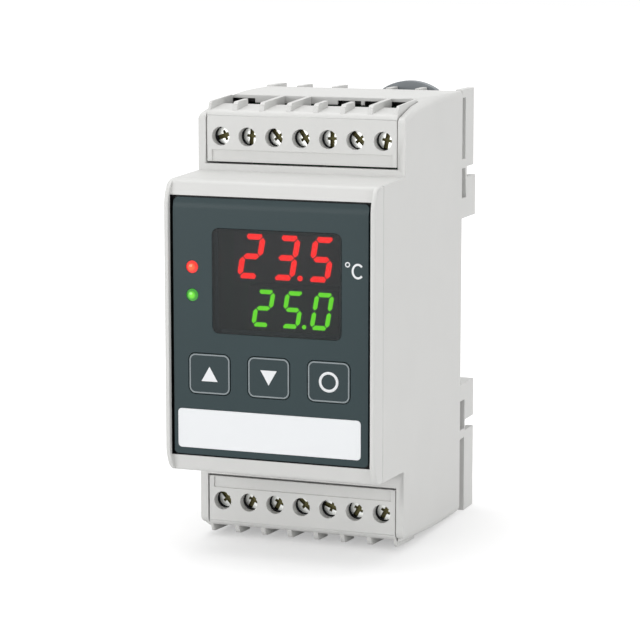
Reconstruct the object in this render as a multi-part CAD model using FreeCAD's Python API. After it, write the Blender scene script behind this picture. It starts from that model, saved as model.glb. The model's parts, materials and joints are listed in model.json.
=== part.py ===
"""DIN rail temperature controller: hollow moulded housing, snap-on front with keys and two
seven-segment displays, two rows of rising-clamp screw terminals under pull-off covers, and a
rail base with fixed hooks and one sprung latch.

Lengths are in millimetres. x runs across the unit, y runs back from the front edge of the
bezel, and z runs up from the surface that the unit stands on. place() moves every finished
solid so that the origin lies under the middle of the unit's depth.
"""

import FreeCAD, Part
import math
import os

Vector = FreeCAD.Vector

# Across the unit
poles = 7
pitch = 5.88
end_margin = 1.92         # end pole's half pitch to the side of the unit
wall = 1.8                # moulded wall of the housing
width = poles * pitch + 2 * end_margin

# Up the front, from the floor to the roof
lower_shoulder = 16.9     # floor to the underside of the raised front block
chin = 4.0                # block to panel opening
label_margin = 1.7        # opening to label
label_height = 8.0
label_to_keys = 3.25
key_height = 8.2
keys_to_window = 4.35
window_height = 21.2
window_margin = 6.3       # window to panel opening
brow = 3.5                # panel opening to the top of the block
upper_shoulder = 14.8     # block to roof
block_low = lower_shoulder
opening_low = block_low + chin
label_low = opening_low + label_margin
label_high = label_low + label_height
key_low = label_high + label_to_keys
key_z = key_low + key_height / 2
window_low = key_low + key_height + keys_to_window
window_high = window_low + window_height
opening_high = window_high + window_margin
block_high = opening_high + brow
height = block_high + upper_shoulder
half = width / 2
mid = height / 2

# Back from the front edge
shoulder_depth = 18.1     # face of the terminal shoulders
shell_depth = 56.0        # open rear of the housing
base_floor = 3.0          # housing to the face that the rail bears on
hook_reach = 6.7          # rail face to the rear of the rail blocks
rail_depth = shell_depth + base_floor
overall_depth = rail_depth + hook_reach
block_draft = 0.4         # how far the front block narrows towards its seam

# Clearances
fit_gap = 0.2             # between a moulding and the one it plugs into
side_seam = 0.25          # visible joint beside a terminal cover
block_seam = 0.45         # visible joint between a terminal cover and the front block
slide_gap = 0.15          # between a sliding piece and its guide
thread_gap = 0.05         # radial clearance of a screw in its thread or bore
pocket_gap = 0.05         # around a plate glued into a recess

# Edges of the side walls: large arcs, lower than the roof at the front
upper_edge_radius = 221.0
lower_edge_radius = 330.0
lower_edge_lift = 0.7
cheek_width = 3.4         # sloping strip along the outer edge of the roof
cheek_rise = 1.6
cheek_round = 1.2
corner_round = 1.3        # lower front corner of the side walls
corner_drop = 1.0         # upper front corner: start of the rounding below the arch
ramp_rise = 3.3           # straight edge of the side wall from that corner to the wire entries

# Front frame and panel
bezel_depth = 5.1         # front edge to the seam with the housing
bezel_round_depth = 3.9   # rounding of the side rims, along y
bezel_round_height = 5.5  # rounding of the side rims, along z
bezel_end_radius = 3.2    # smaller arc of that rounding
bezel_edge_bevel = 0.35
groove_width = 0.18       # fine groove behind the frame
groove_depth = 0.5
rim_width = 1.0
ledge_width = 1.7         # ledge behind the panel
band_set_back = 1.35      # front of the sloping bands above and below the panel
band_slope = 0.375        # how far a band falls back for each millimetre away from the panel
band_round = 0.9
panel_gap = 0.35          # above and below the panel
panel_side_gap = 0.65
panel_front = 0.95
panel_thickness = 1.6
panel_corner = 1.0
panel_bevel_height = 2.2
panel_bevel_depth = 0.65
board_front = 8.0         # front face of the display board
board_thickness = 1.6

# Display window, label and lamps
window_inset = 10.2       # side of the unit to the window
window_left = -half + window_inset
window_width = 27.5
window_right = window_left + window_width
window_corner = 1.3
window_thickness = 1.2
window_ledge = 0.8
label_left_margin = 2.5
label_right_margin = 3.2
label_left = -half + label_left_margin
label_right = half - label_right_margin
label_corner = 0.8
label_thickness = 0.3
lamp_inset = 5.8
lamp_x = -half + lamp_inset
lamp_radius = 1.25
lamp_dome = 0.45
red_lamp_rise = 13.2      # foot of the window to the red lamp
lamp_pitch = 5.7
red_lamp_z = window_low + red_lamp_rise
green_lamp_z = red_lamp_z - lamp_pitch

# Keys
key_width = 8.9
key_corner = 1.3
key_pitch = 12.8
key_middle_x = -0.25
key_travel = 0.4
key_flange = 0.6          # how far the retaining flange reaches past the pad
key_flange_thickness = 0.6
key_stem_size = 3.0
switch_size = 6.0
switch_height = 3.2
switch_body = 0.7         # share of the switch's height below its plunger
plunger_size = 3.2

# Displays: the rows fill the window but for these margins and gaps
digit_slant = math.tan(math.radians(10.0))
row_digits = 3
segment_gap = 0.18
segment_nip = 1.4         # a level bar's outer corners, in half bar widths from the digit's side
dot_sides = 12
segment_thickness = 0.2
process_left = 4.65       # window to the first digit's foot
process_right = 1.6       # last digit's head to the window
process_gap = 2.7         # between two digits
process_bar = 1.1
process_drop = 1.0        # top of the window to the upper row
setpoint_left = 7.7
setpoint_right = 2.0
setpoint_gap = 2.25
setpoint_bar = 0.85
setpoint_height = 7.5
setpoint_rise = 1.6       # foot of the window to the lower row
row_gap = 2.1
display_margin = 0.6
display_set_back = 0.45   # window to the face of the display modules

# Terminal covers: heights are drops below the roof
cover_set_back = 0.2      # cover face behind the shoulder face
cover_wall = 1.8
cover_round = 1.4         # rounded outer front edge of the cover
cover_drop = 2.3          # outer face of the cover, at its front
cover_slope_rise = 0.7    # how much the outer face climbs towards the wire entries
cover_skin = 1.3
seam_drop = 13.45         # inner end of the cover's pocket
entry_set_back = 7.7      # cover face to the wire entries
entry_length = 5.0
access_radius = 1.93      # screwdriver holes
rib_thickness = 1.0
rib_set_back = 0.6        # cover face to the foot of a rib's nose
rib_nose_run = 0.6        # steep part of the nose, along y and z
rib_nose_rise = 1.55
rib_nose_round = 0.7
rib_root = 0.5            # how far a rib is rooted in the cover behind its outer face
rib_drop = 0.1            # rear end of a rib below the roof
short_rib_margin = 1.0    # a short rib ends this far in front of the wire entries
rib_is_short = (False, True, False, False, True, True, False, False)
entry_is_open = (True, False, False, False, True, True, True)   # rear wall notched
notch_skin = 0.8
strip_margin = 2.9        # marking strip recess
strip_drop_low = 12.9
strip_drop_high = 10.6
strip_depth = 0.35

# Terminal body, screws and clamps
screw_drop = 7.8
screw_set_back = 2.7      # cover face to screw heads
block_gap = 0.4
head_radius = 1.8
head_thickness = 1.3
head_bore_gap = 0.1
shank_radius = 1.25
thread_pitch = 0.45
thread_sides = 8          # hidden threads and bores are kept to a few flat sides
bore_sides = 12
clamp_turns = 5.0         # turns that open a clamp fully
slot_width = 0.95
cross_width = 0.6
slot_depth = 0.8
cross_length = 2.1
slot_angles_upper = (20, 85, -50, -55, 90, -45, 78)
slot_angles_lower = (-50, 63, 63, -42, -20, 60, 63)
clamp_width = 4.2
clamp_height = 5.0
clamp_side = 0.65
clamp_front = 1.3
clamp_rear = 0.9
wire_space = 3.0
bar_thickness = 0.8
bar_width = 2.4
leg_thickness = 0.7
chamber_width = 4.9
chamber_floor = 1.1
chamber_wall = 1.0

# Boards and what they carry
board_room = 13.0         # main board to the rear of the housing
relay_size = (15.5, 15.4, 19.0)
relay_inset = 4.0
relay_rise = 3.1          # foot of the front block to the relay
relay_bevel = 0.6
relay_left = -half + relay_inset
relay_low = block_low + relay_rise
transformer_size = (16.0, 14.0, 15.0)
transformer_left = -2.0
transformer_rise = 7.6    # foot of the window to the transformer
transformer_low = window_low + transformer_rise
bobbin_margin = (2.5, 1.5, 4.0)   # bobbin inside the core across and in front, core inside it above
core_lift = 3.0
capacitor_inset = 10.5
capacitor_rise = 16.6     # foot of the window to the capacitor's centre
capacitor_x = -half + capacitor_inset
capacitor_z = window_low + capacitor_rise
capacitor_radius = 6.0
capacitor_length = 20.0
link_inset = 3.5
link_half_height = 15.0
post_size = 4.4
post_inset_x = 4.0
post_inset_z = 14.0

# Rail base: heights of the side walls' slots are taken from the rail's gap
plate_thickness = 1.9
spigot_depth = 3.0
spigot_wall = 1.3
rail_gap_low = 28.5
rail_gap = 36.3
rail_gap_high = rail_gap_low + rail_gap
block_wall = 1.6
rib_wall = 1.2
shelf = 1.5
left_rib_x = (-15.3, -7.1)
right_rib_x = (5.3, 11.95)
rib_top_over_roof = 0.2
base_rise = 0.3           # side walls above the roof
base_margin = 0.9         # recessed plate inside the floor and the roof
slot_margin = 4.0         # recessed plate inside the side of the unit
rear_step = 1.5           # upper blocks in front of the rear
notch_level = 0.5         # floor of the blocks' notches behind the rail face
slot_level = 0.6          # rear edge of the side slots in front of the rail face
slot_lean = 0.8
bridge = 2.0
bridge_rise = 10.8        # rail gap to the upper bridge
bridge_drop = 12.1        # rail gap to the lower bridge
upper_slot = 4.4
lower_slot = 3.7
upper_notch = (8.8, 11.0)
lower_notch = (8.3, 10.6)
top_bridge = (1.5, 0.5)   # bridge at the roof, below it
foot_set_back = 0.5       # floor of the lower blocks behind the plate's face
hook_lip = 1.9
hook_thickness = 1.8
hook_width = 2.9
rail_thickness = 1.0
rail_width = 35.0

# Rail latch
latch_x = 8.4
latch_width = 12.4
latch_set_back = 3.1      # rail face to the latch
latch_thickness = 2.0
latch_travel = 3.5
tab_drop = 0.4            # ends of the tab's arched edge, below the roof
tab_rise = 1.5            # middle of it, above the roof
guide_drop = 4.0
nose_overlap = 1.3
nose_width = 4.6
nose_bevel = 1.8
seat_gap = 0.3
lip = 1.2
spring_room = 15.2
spring_width = 4.4
spring_strip = 0.7        # thickness of the moulded strip
spring_bends = 7

# Derived values
inner = half - wall
seam_low = block_low + block_draft
seam_high = block_high - block_draft
screw_offset = mid - screw_drop
cover_face = mid - cover_drop
cover_seam = mid - seam_drop
strip_low = mid - strip_drop_low
strip_high = mid - strip_drop_high
panel_rear = panel_front + panel_thickness
module_face = panel_front + window_thickness + display_set_back
pocket_half = inner + fit_gap
cover_half = pocket_half - side_seam
cover_front = shoulder_depth + cover_set_back
entry_front = cover_front + entry_set_back
entry_rear = entry_front + entry_length
head_front = cover_front + screw_set_back
head_rear = head_front + head_thickness
block_front = head_front - fit_gap
clamp_travel = clamp_turns * thread_pitch
cage_front = head_rear + clamp_travel + 2 * thread_gap
bar_front = cage_front + clamp_front + fit_gap
bar_rear = bar_front + bar_thickness
cage_rear = bar_rear + wire_space + clamp_rear
chamber_rear = cage_rear + 2 * fit_gap
block_rear = chamber_rear + chamber_wall
main_board_front = shell_depth - board_room
plate_front = rail_depth - plate_thickness
rail_back = rail_depth + rail_thickness + fit_gap
rail_centre = rail_gap_low + rail_gap / 2
nose_tip = rail_centre + rail_width / 2 - nose_overlap
seat_low = rail_gap_high + seat_gap
seat_high = seat_low + shelf
latch_front = rail_depth + latch_set_back
latch_tab_low = height - tab_drop
latch_tab_high = height + tab_rise
spring_stop = rail_gap_high + spring_room
spring_x = (right_rib_x[0] + right_rib_x[1]) / 2
pole_x = [(i - (poles - 1) / 2) * pitch for i in range(int(poles))]
rib_x = [(i - poles / 2) * pitch for i in range(int(poles) + 1)]
key_x = [key_middle_x + i * key_pitch for i in (-1, 0, 1)]
segment_sets = {"0": "abcdef", "2": "abged", "3": "abgcd", "5": "afgcd"}


# Building blocks

def box(x0, x1, y0, y1, z0, z1):
    return Part.makeBox(x1 - x0, y1 - y0, z1 - z0, Vector(x0, y0, z0))


def rod_y(x, z, radius, y0, y1):
    return Part.makeCylinder(radius, y1 - y0, Vector(x, y0, z), Vector(0, 1, 0))


def prism_y(x, z, radius, y0, y1, sides):
    """Rod along y with flat sides. Its corners lie on the radius."""
    corners = []
    for i in range(sides + 1):
        turn = 2 * math.pi * (i + 0.5) / sides
        corners.append(Vector(x + radius * math.cos(turn), y0, z + radius * math.sin(turn)))
    return Part.Face(Part.makePolygon(corners)).extrude(Vector(0, y1 - y0, 0))


def bore_y(x, z, radius, y0, y1, sides):
    """Flat-sided hole cutter. Its flats lie on the radius, so that a round rod clears it."""
    return prism_y(x, z, radius / math.cos(math.pi / sides), y0, y1, sides)


def side_face(start, *steps):
    """Closed face in the yz plane. A step is a point for a line, or (via, end) for an arc."""
    edges = []
    here = Vector(0, *start)
    for step in steps:
        if isinstance(step[0], tuple):
            via = Vector(0, *step[0])
            end = Vector(0, *step[1])
            edges.append(Part.Arc(here, via, end).toShape())
        else:
            end = Vector(0, *step)
            edges.append(Part.LineSegment(here, end).toShape())
        here = end
    if (here - Vector(0, *start)).Length > 0.001:
        edges.append(Part.LineSegment(here, Vector(0, *start)).toShape())
    return Part.Face(Part.Wire(edges))


def rounding(before, corner, after, reach):
    """Start, middle and end of the arc that rounds a corner of a side view."""
    here = Vector(0, *corner)
    first = (Vector(0, *before) - here).normalize()
    last = (Vector(0, *after) - here).normalize()
    half_angle = first.getAngle(last) / 2
    fall = reach * (1 - math.sin(half_angle)) / math.cos(half_angle)
    start = here + first * reach
    via = here + (first + last).normalize() * fall
    end = here + last * reach
    return (start.y, start.z), (via.y, via.z), (end.y, end.z)


def across(face, x0, x1):
    """Extrude a yz face from x0 to x1."""
    moved = face.copy()
    moved.translate(Vector(x0, 0, 0))
    return moved.extrude(Vector(x1 - x0, 0, 0))


def rounded_plate(x0, x1, y0, y1, z0, z1, radius):
    """Plate facing the front, with its four upright corners rounded in the xz plane."""
    plate = box(x0, x1, y0, y1, z0, z1)
    upright = [e for e in plate.Edges if abs(e.tangentAt(e.FirstParameter).y) > 0.99]
    return plate.makeFillet(radius, upright)


def joined(shapes):
    return shapes[0].multiFuse(shapes[1:]).removeSplitter()


def flipped(shape):
    """The same moulding turned over, for the lower terminal row."""
    return shape.mirror(Vector(0, 0, mid), Vector(0, 0, 1))


def crown(edge_z, radius, up):
    """Body of revolution about a line along x that gives a side wall its arched edge."""
    cheek_end = half - cheek_width
    start, via, end = rounding((half, 0), (half, radius), (cheek_end, radius + cheek_rise), cheek_round)
    edges = [
        Part.LineSegment(Vector(-half, 0, 0), Vector(-half, 0, start[1])).toShape(),
        Part.Arc(
            Vector(-start[0], 0, start[1]), Vector(-via[0], 0, via[1]), Vector(-end[0], 0, end[1]),
        ).toShape(),
        Part.LineSegment(Vector(-end[0], 0, end[1]), Vector(-cheek_end, 0, radius + cheek_rise)).toShape(),
        Part.LineSegment(
            Vector(-cheek_end, 0, radius + cheek_rise), Vector(cheek_end, 0, radius + cheek_rise),
        ).toShape(),
        Part.LineSegment(Vector(cheek_end, 0, radius + cheek_rise), Vector(end[0], 0, end[1])).toShape(),
        Part.Arc(
            Vector(end[0], 0, end[1]), Vector(via[0], 0, via[1]), Vector(start[0], 0, start[1]),
        ).toShape(),
        Part.LineSegment(Vector(half, 0, start[1]), Vector(half, 0, 0)).toShape(),
        Part.LineSegment(Vector(half, 0, 0), Vector(-half, 0, 0)).toShape(),
    ]
    face = Part.Face(Part.Wire(edges))
    body = face.revolve(Vector(0, 0, 0), Vector(1, 0, 0), 360)
    body.translate(Vector(0, shell_depth, edge_z - up * radius))
    return body


# Housing

def arch_z(y):
    """Height of a side wall's upper edge at depth y."""
    run = shell_depth - y
    return height - upper_edge_radius + math.sqrt(upper_edge_radius ** 2 - run ** 2)


def sill_z(y):
    """Height of a side wall's lower edge at depth y."""
    run = shell_depth - y
    return lower_edge_lift + lower_edge_radius - math.sqrt(lower_edge_radius ** 2 - run ** 2)


def housing():
    corner_z = arch_z(shoulder_depth)
    sill = sill_z(shoulder_depth)
    ramp_end = (entry_rear, corner_z + ramp_rise)
    sill_y = shoulder_depth + 2 * corner_round
    high = rounding((shoulder_depth, sill), (shoulder_depth, corner_z), ramp_end, corner_drop)
    low = rounding(
        (sill_y, sill_z(sill_y)), (shoulder_depth, sill), (shoulder_depth, corner_z), corner_round,
    )
    body = across(
        side_face(
            low[2],
            high[0],
            (high[1], high[2]),
            ramp_end,
            (entry_rear, height),
            (shell_depth, height),
            (shell_depth, 0),
            (low[0][0], 0),
            low[0],
            (low[1], low[2]),
        ),
        -half,
        half,
    )
    front = across(
        side_face(
            (bezel_depth, seam_low),
            (bezel_depth, seam_high),
            (shoulder_depth, block_high),
            (shoulder_depth + wall, block_high),
            (shoulder_depth + wall, block_low),
            (shoulder_depth, block_low),
        ),
        -half,
        half,
    )
    body = body.common(crown(height, upper_edge_radius, 1))
    body = body.common(crown(lower_edge_lift, lower_edge_radius, -1))
    shell = joined([body, front])
    front_room = box(
        -inner, inner, bezel_depth - 1, shoulder_depth + wall + 1,
        seam_low + wall, seam_high - wall,
    )
    main_room = box(-inner, inner, shoulder_depth + wall, shell_depth + 1, wall, height - wall)
    pocket = box(
        -pocket_half, pocket_half, shoulder_depth - 1, entry_rear,
        mid + cover_seam, height + 5,
    )
    groove = box(
        -half - 1, half + 1, bezel_depth - 1, bezel_depth + groove_width, seam_low - 1, seam_high + 1,
    )
    tongue = box(
        -half + groove_depth, half - groove_depth, bezel_depth - 1, bezel_depth + groove_width,
        seam_low + groove_depth, seam_high - groove_depth,
    )
    shell = shell.cut(front_room).cut(main_room).cut(pocket).cut(flipped(pocket)).cut(groove.cut(tongue))
    for x, is_open in zip(pole_x, entry_is_open):
        if is_open:
            notch = box(
                x - chamber_width / 2, x + chamber_width / 2,
                entry_rear - 1, entry_rear + wall, height - wall - 1, height - notch_skin,
            )
            shell = shell.cut(notch)
    return shell


# Front frame, panel and what sits in it

def rim_face():
    """Side view of the frame: straight front edge, each end rounded by two tangent arcs."""
    a = bezel_round_depth
    b = bezel_round_height
    r = bezel_end_radius
    big = (a * a + b * b - 2 * b * r) / (2 * (a - r))
    lean = math.atan2(b - r, big - a)

    def on_arc(centre_y, centre_fall, radius, angle):
        """Depth, and fall below the frame's end, of a point of a rounding."""
        return centre_y - radius * math.cos(angle), centre_fall - radius * math.sin(angle)

    first_via = on_arc(big, b, big, lean / 2)
    join = on_arc(big, b, big, lean)
    second_via = on_arc(a, r, r, (lean + math.pi / 2) / 2)
    return side_face(
        (0, seam_low + b),
        (0, seam_high - b),
        ((first_via[0], seam_high - first_via[1]), (join[0], seam_high - join[1])),
        ((second_via[0], seam_high - second_via[1]), (a, seam_high)),
        (bezel_depth, seam_high),
        (bezel_depth, seam_low),
        (a, seam_low),
        ((second_via[0], seam_low + second_via[1]), (join[0], seam_low + join[1])),
        ((first_via[0], seam_low + first_via[1]), (0, seam_low + b)),
    )


def band_cut(edge, seam):
    """Space in front of the sloping band between the panel and the frame's outer edge."""
    reach = seam - edge
    corner = (band_set_back + abs(reach) * band_slope, seam)
    turn = rounding((band_set_back, edge), corner, (bezel_round_depth, seam), band_round)
    return across(
        side_face(
            (-1, edge),
            (band_set_back, edge),
            turn[0],
            (turn[1], turn[2]),
            (bezel_round_depth, seam),
            (bezel_round_depth, seam + reach),
            (-1, seam + reach),
        ),
        -half + rim_width,
        half - rim_width,
    )


def front_frame():
    frame = across(rim_face(), -half, half)
    outer_edges = [
        e for e in frame.Edges
        if all(abs(abs(v.X) - half) < 0.001 for v in e.Vertexes)
        and abs(e.Vertexes[0].X - e.Vertexes[1].X) < 0.001
        and not all(abs(v.Y - bezel_depth) < 0.001 for v in e.Vertexes)
    ]
    frame = frame.makeChamfer(bezel_edge_bevel, outer_edges)
    seat = box(
        -half + rim_width, half - rim_width, -1, panel_rear, opening_low, opening_high,
    )
    window = box(
        -half + rim_width + ledge_width, half - rim_width - ledge_width, 0, bezel_depth + 1,
        opening_low + ledge_width, opening_high - ledge_width,
    )
    frame = frame.cut(seat).cut(window)
    frame = frame.cut(band_cut(opening_high, seam_high)).cut(band_cut(opening_low, seam_low))
    skirt_half = inner - fit_gap
    skirt = box(
        -skirt_half, skirt_half, bezel_depth, board_front,
        seam_low + wall + fit_gap, seam_high - wall - fit_gap,
    )
    skirt_room = box(
        -skirt_half + spigot_wall, skirt_half - spigot_wall, bezel_depth - 1, board_front + 1,
        seam_low + wall + fit_gap + spigot_wall, seam_high - wall - fit_gap - spigot_wall,
    )
    return joined([frame, skirt.cut(skirt_room)])


def key_hole(x):
    return rounded_plate(
        x - key_width / 2 - slide_gap, x + key_width / 2 + slide_gap,
        panel_front - 1, panel_rear + 1,
        key_z - key_height / 2 - slide_gap, key_z + key_height / 2 + slide_gap,
        key_corner + slide_gap,
    )


def front_panel():
    left = -half + rim_width + panel_side_gap
    low = opening_low + panel_gap
    high = opening_high - panel_gap
    panel = rounded_plate(left, -left, panel_front, panel_rear, low, high, panel_corner)
    bevel = across(
        side_face(
            (panel_front - 1, high - panel_bevel_height),
            (panel_front, high - panel_bevel_height),
            (panel_front + panel_bevel_depth, high + 0.01),
            (panel_front - 1, high + 0.01),
        ),
        left - 1,
        1 - left,
    )
    panel = panel.cut(bevel)
    window_seat = rounded_plate(
        window_left - pocket_gap, window_right + pocket_gap,
        panel_front - 1, panel_front + window_thickness,
        window_low - pocket_gap, window_high + pocket_gap, window_corner + pocket_gap,
    )
    window_hole = box(
        window_left + window_ledge, window_right - window_ledge, panel_front, panel_rear + 1,
        window_low + window_ledge, window_high - window_ledge,
    )
    label_seat = rounded_plate(
        label_left - pocket_gap, label_right + pocket_gap,
        panel_front - 1, panel_front + label_thickness,
        label_low - pocket_gap, label_high + pocket_gap, label_corner + pocket_gap,
    )
    panel = panel.cut(window_seat).cut(window_hole).cut(label_seat)
    for x in key_x:
        panel = panel.cut(key_hole(x))
    for z in (red_lamp_z, green_lamp_z):
        panel = panel.cut(rod_y(lamp_x, z, lamp_radius + pocket_gap, 0, panel_rear + 1))
    return panel


def display_window():
    return rounded_plate(
        window_left, window_right, panel_front, panel_front + window_thickness,
        window_low, window_high, window_corner,
    )


def label_strip():
    return rounded_plate(
        label_left, label_right, panel_front, panel_front + label_thickness,
        label_low, label_high, label_corner,
    )


def key(x):
    """Pad flush with the panel, a flange that keeps it in, and a stem towards its switch."""
    pad = rounded_plate(
        x - key_width / 2, x + key_width / 2, panel_front, panel_rear + slide_gap,
        key_z - key_height / 2, key_z + key_height / 2, key_corner,
    )
    flange_front = panel_rear + slide_gap
    flange = box(
        x - key_width / 2 - key_flange, x + key_width / 2 + key_flange,
        flange_front, flange_front + key_flange_thickness,
        key_z - key_height / 2 - key_flange, key_z + key_height / 2 + key_flange,
    )
    stem_end = board_front - switch_height - key_travel - slide_gap
    stem = box(
        x - key_stem_size / 2, x + key_stem_size / 2, flange_front, stem_end,
        key_z - key_stem_size / 2, key_z + key_stem_size / 2,
    )
    return joined([pad, flange, stem])


def lamp(z):
    """Light pipe from the display board to a domed lens in the panel."""
    pipe = rod_y(lamp_x, z, lamp_radius, panel_front, board_front)
    ball_radius = (lamp_radius ** 2 + lamp_dome ** 2) / (2 * lamp_dome)
    ball = Part.makeSphere(ball_radius, Vector(lamp_x, panel_front - lamp_dome + ball_radius, z))
    cap = ball.common(rod_y(lamp_x, z, lamp_radius, panel_front - lamp_dome, panel_front))
    return joined([pipe, cap])


# Displays

def digit_row(left, right, gap, low, height_of_row, bar):
    """Digit cells that share the window's width between its two margins."""
    lean = digit_slant * height_of_row
    cell = (window_width - left - right - lean - (row_digits - 1) * gap) / row_digits
    return {
        "left": window_left + left, "low": low, "pitch": cell + gap,
        "width": cell, "height": height_of_row, "bar": bar,
    }


process_low = window_low + setpoint_rise + setpoint_height + row_gap
process_row = digit_row(
    process_left, process_right, process_gap, process_low,
    window_high - process_drop - process_low, process_bar,
)
setpoint_row = digit_row(
    setpoint_left, setpoint_right, setpoint_gap, window_low + setpoint_rise,
    setpoint_height, setpoint_bar,
)


def slanted_prism(points, left, low, y0):
    """Flat bar from outline points in a digit's own upright frame."""
    corners = [Vector(left + x + digit_slant * z, y0, low + z) for x, z in points]
    face = Part.Face(Part.makePolygon(corners + corners[:1]))
    return face.extrude(Vector(0, segment_thickness, 0))


def digit(lit, left, row, y0):
    """Mitred bars of one digit. Segments are named a to g, clockwise from the top."""
    w = row["width"]
    h = row["height"]
    t = row["bar"]
    g = segment_gap
    m = h / 2
    tip = t / 2
    nip = tip * segment_nip + g

    def level(z, up):
        """Horizontal bar with its outer edge at z, or centred on it when up is 0."""
        if up == 0:
            return [(tip + g, z), (t + g, z + tip), (w - t - g, z + tip),
                    (w - tip - g, z), (w - t - g, z - tip), (t + g, z - tip)]
        near = z - up * t
        return [(tip + g, z - up * tip), (nip, z), (w - nip, z),
                (w - tip - g, z - up * tip), (w - t - g, near), (t + g, near)]

    def upright(x, side, z0, z1):
        """Vertical bar with its outer edge at x."""
        near = x - side * t
        centre = x - side * tip
        return [(centre, z0), (near, z0 + tip), (near, z1 - tip),
                (centre, z1), (x, z1 - tip), (x, z0 + tip)]

    bars = {
        "a": level(h, 1),
        "b": upright(w, 1, m + g, h - tip - g),
        "c": upright(w, 1, tip + g, m - g),
        "d": level(0, -1),
        "e": upright(0, -1, tip + g, m - g),
        "f": upright(0, -1, m + g, h - tip - g),
        "g": level(m, 0),
    }
    return [slanted_prism(bars[name], left, row["low"], y0) for name in lit]


def readout(row, digits, y_face):
    """Lit segments of a row, with the decimal point after its second digit."""
    y0 = y_face - segment_thickness
    solids = []
    for i, lit in enumerate(digits):
        solids += digit(lit, row["left"] + i * row["pitch"], row, y0)
    dot_x = row["left"] + row["pitch"] + (row["pitch"] + row["width"]) / 2
    dot_z = row["low"] + row["bar"] / 2
    solids.append(prism_y(dot_x, dot_z, row["bar"] / 2, y0, y_face, dot_sides))
    return Part.makeCompound(solids)


def display_module(row):
    """Moulded display body that stands on the display board."""
    lean = digit_slant * row["height"]
    left = row["left"] - display_margin
    right = row["left"] + (row_digits - 1) * row["pitch"] + row["width"] + lean + display_margin
    return box(
        left, right, module_face, board_front,
        row["low"] - display_margin, row["low"] + row["height"] + display_margin,
    )


def key_switches():
    """Three tactile switches on the display board."""
    solids = []
    for x in key_x:
        body_front = board_front - switch_height * switch_body
        body = box(
            x - switch_size / 2, x + switch_size / 2, body_front, board_front,
            key_z - switch_size / 2, key_z + switch_size / 2,
        )
        plunger = box(
            x - plunger_size / 2, x + plunger_size / 2, board_front - switch_height, body_front,
            key_z - plunger_size / 2, key_z + plunger_size / 2,
        )
        solids.append(joined([body, plunger]))
    return Part.makeCompound(solids)


# Terminal covers

def outer_face_z(y):
    """Height of a cover's outer face above the floor at depth y, upper row."""
    run = entry_front - cover_front - cover_round
    return mid + cover_face + cover_slope_rise * (y - cover_front - cover_round) / run


def rib_face(end):
    """Side view of one rib: steep rounded nose, then a straight climb towards the roof."""
    nose_y = cover_front + rib_set_back
    foot_z = outer_face_z(entry_front) - cover_skin
    top_z = height - rib_drop
    face_z = mid + cover_face
    brow_point = (nose_y + rib_nose_run, face_z + rib_nose_rise)
    turn = rounding((nose_y, face_z), brow_point, (entry_rear, top_z), rib_nose_round)
    climb = (top_z - brow_point[1]) / (entry_rear - brow_point[0])
    base_z = face_z - cover_skin / 2
    step_y = min(entry_front, end) - rib_root
    return side_face(
        (nose_y, base_z),
        (nose_y, face_z),
        turn[0],
        (turn[1], turn[2]),
        (end, top_z - climb * (entry_rear - end)),
        (end, foot_z),
        (step_y, foot_z),
        (step_y, base_z),
    )


def terminal_cover():
    """Upper cover. Its front carries the screwdriver holes and its ribs part the wire entries."""
    z_seam = mid + cover_seam + block_seam
    rear = entry_front
    skin_top = outer_face_z(rear)
    bend = cover_round * (1 - math.sqrt(0.5))
    shell = across(
        side_face(
            (cover_front, z_seam),
            (cover_front, mid + cover_face - cover_round),
            ((cover_front + bend, mid + cover_face - bend),
             (cover_front + cover_round, mid + cover_face)),
            (rear, skin_top),
            (rear, skin_top - cover_skin),
            (cover_front + cover_wall, mid + cover_face - cover_skin),
            (cover_front + cover_wall, z_seam),
        ),
        -cover_half,
        cover_half,
    )
    pieces = [shell]
    for x, is_short in zip(rib_x, rib_is_short):
        end = entry_front - short_rib_margin if is_short else entry_rear - fit_gap
        x0 = max(x - rib_thickness / 2, -cover_half)
        x1 = min(x + rib_thickness / 2, cover_half)
        pieces.append(across(rib_face(end), x0, x1))
    cover = joined(pieces)
    z = mid + screw_offset
    for x in pole_x:
        cover = cover.cut(rod_y(x, z, access_radius, cover_front - 1, cover_front + cover_wall + 1))
    recess = box(
        -half + strip_margin, half - strip_margin, cover_front - 1, cover_front + strip_depth,
        mid + strip_low, mid + strip_high,
    )
    return cover.cut(recess)


# Terminals: insulating body, contact bars, screws and rising clamps

def terminal_block():
    """Upper insulating body with one open-topped chamber for each pole."""
    z_screw = mid + screw_offset
    floor_top = z_screw - clamp_height / 2 - leg_thickness - 2 * fit_gap
    low = floor_top - chamber_floor
    high = mid + cover_face - cover_skin - block_gap
    body = box(-cover_half, cover_half, block_front, block_rear, low, high)
    for x in pole_x:
        chamber = box(
            x - chamber_width / 2, x + chamber_width / 2, head_rear + thread_gap, chamber_rear,
            floor_top, high + 1,
        )
        slot = box(
            x - bar_width / 2 - fit_gap, x + bar_width / 2 + fit_gap, chamber_rear - 1, block_rear + 1,
            floor_top, floor_top + leg_thickness + fit_gap,
        )
        bore = bore_y(x, z_screw, head_radius + head_bore_gap, block_front - 1, head_rear + 1, bore_sides)
        body = body.cut(chamber).cut(slot).cut(bore)
    return body


def contact_bars():
    """Upper row of fixed bars: an upright tongue inside each clamp and a leg to the board."""
    z_screw = mid + screw_offset
    floor_top = z_screw - clamp_height / 2 - leg_thickness - 2 * fit_gap
    solids = []
    for x in pole_x:
        tongue = box(
            x - bar_width / 2, x + bar_width / 2, bar_front, bar_rear,
            floor_top, z_screw + clamp_height / 2 - fit_gap,
        )
        leg = box(
            x - bar_width / 2, x + bar_width / 2, bar_front, main_board_front,
            floor_top, floor_top + leg_thickness,
        )
        solids.append(joined([tongue, leg]))
    return Part.makeCompound(solids)


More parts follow.
